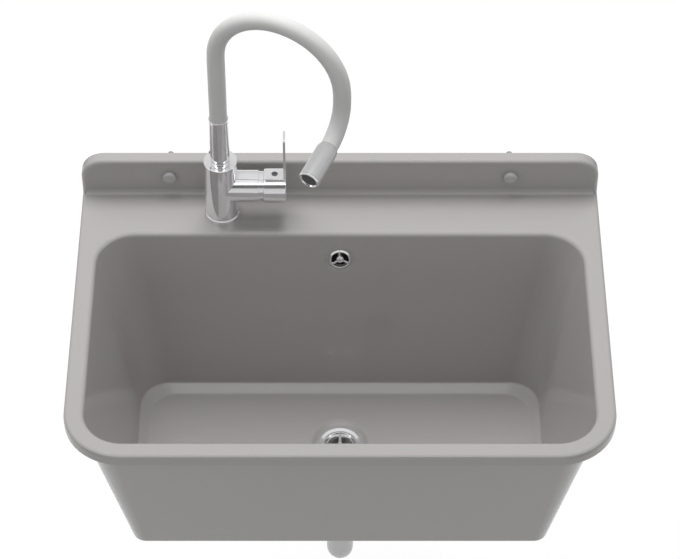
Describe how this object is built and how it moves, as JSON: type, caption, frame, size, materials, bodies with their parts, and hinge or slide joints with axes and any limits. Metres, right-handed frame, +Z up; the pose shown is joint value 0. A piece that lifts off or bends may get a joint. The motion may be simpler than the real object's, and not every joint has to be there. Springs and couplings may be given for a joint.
{
  "type": "utility sink",
  "caption": "Wall-hung grey utility laundry sink with raised back, single-lever tap with arched flexible spout, overflow, strainer drain, plug and trap.",
  "frame": {"origin": "on the wall plane, midway between the two wall fixings", "axes": "+X to the user's right when facing the wall, +Y into the wall, +Z up"},
  "size_m": [0.75, 0.55, 0.9725],
  "materials": {
    "basin_plastic": "glossy moulded mid grey",
    "cap_plastic": "glossy grey",
    "zinc_steel": "zinc plated",
    "chrome": "polished",
    "dark_screw": "dark steel",
    "black_rubber": "matt",
    "green_rubber": "matt olive green",
    "dark_plastic": "satin dark grey",
    "white_plastic": "satin white",
    "brass": "machined",
    "ceramic": "lapped ceramic",
    "silicone_hose": "satin light grey silicone",
    "head_plastic": "satin metallised grey"
  },
  "bodies": {
    "sink": {"basin": "basin_plastic", "wall_screws": "zinc_steel", "wall_washers": "zinc_steel", "screw_caps": "cap_plastic", "overflow_rosette": "chrome", "overflow_screw": "chrome", "overflow_gasket": "black_rubber", "overflow_head": "dark_plastic", "overflow_pipe": "white_plastic", "overflow_nut": "white_plastic", "overflow_seal": "black_rubber", "drain_strainer": "chrome", "drain_gasket": "black_rubber", "drain_screw": "chrome", "waste_body": "white_plastic", "waste_seal": "green_rubber", "waste_nut": "white_plastic", "tailpipe": "white_plastic", "trap_inlet_nut": "white_plastic", "trap_inlet_seal": "green_rubber", "trap_bend": "white_plastic", "trap_outlet_nut": "white_plastic", "trap_outlet_seal": "green_rubber", "outlet_pipe": "white_plastic", "wall_rosette": "white_plastic", "tap_body": "chrome", "tap_base_ring": "chrome", "tap_base_seal": "black_rubber", "tap_stud": "zinc_steel", "tap_clamp_washer": "black_rubber", "tap_clamp_plate": "zinc_steel", "tap_nut": "brass", "cartridge_housing": "white_plastic", "cartridge_disc": "ceramic", "cartridge_ring": "chrome"},
    "spout": {"spout_slip_ring": "black_rubber", "spout_spigot": "brass", "spout_o_rings": "black_rubber", "spout_sleeve": "chrome", "sleeve_set_screw": "dark_screw", "spout_hose": "silicone_hose", "spout_core": "zinc_steel", "spout_head": "head_plastic", "aerator_ring": "chrome", "aerator_insert": "dark_plastic"},
    "mixer": {"cartridge_carrier": "white_plastic", "carrier_pin": "zinc_steel"},
    "handle": {"lever_stem": "brass", "handle_hub": "chrome", "lever_blade": "chrome", "lever_screw": "dark_screw"},
    "plug": {"plug_body": "black_rubber"},
    "plug_ring": {"plug_ring": "zinc_steel"},
    "branch_plug": {"branch_cap": "white_plastic", "branch_strap": "white_plastic"}
  },
  "joints": [
    {"name": "spout_swivel", "type": "hinge", "parent": "sink", "child": "spout", "pos_m": [-0.17, -0.06, 0], "axis": [0, 0, 1], "range_deg": [-140, 35]},
    {"name": "lever_temperature", "type": "hinge", "parent": "sink", "child": "mixer", "pos_m": [-0.116, -0.06, 0.023], "axis": [1, 0, 0], "range_deg": [-30, 50]},
    {"name": "lever_flow", "type": "hinge", "parent": "mixer", "child": "handle", "pos_m": [-0.113, -0.06, 0.023], "axis": [0, 1, 0], "range_deg": [0, 20]},
    {"name": "plug_lift", "type": "slide", "parent": "sink", "child": "plug", "axis": [0, 0, 1], "range_m": [0, 0.12]},
    {"name": "plug_ring_swing", "type": "hinge", "parent": "plug", "child": "plug_ring", "pos_m": [0.062, -0.367, -0.2965], "axis": [0, -1, 0], "range_deg": [0, 164]},
    {"name": "branch_cap_pull", "type": "slide", "parent": "sink", "child": "branch_plug", "axis": [0.7071, 0, 0.7071], "range_m": [0, 0.015]}
  ]
}
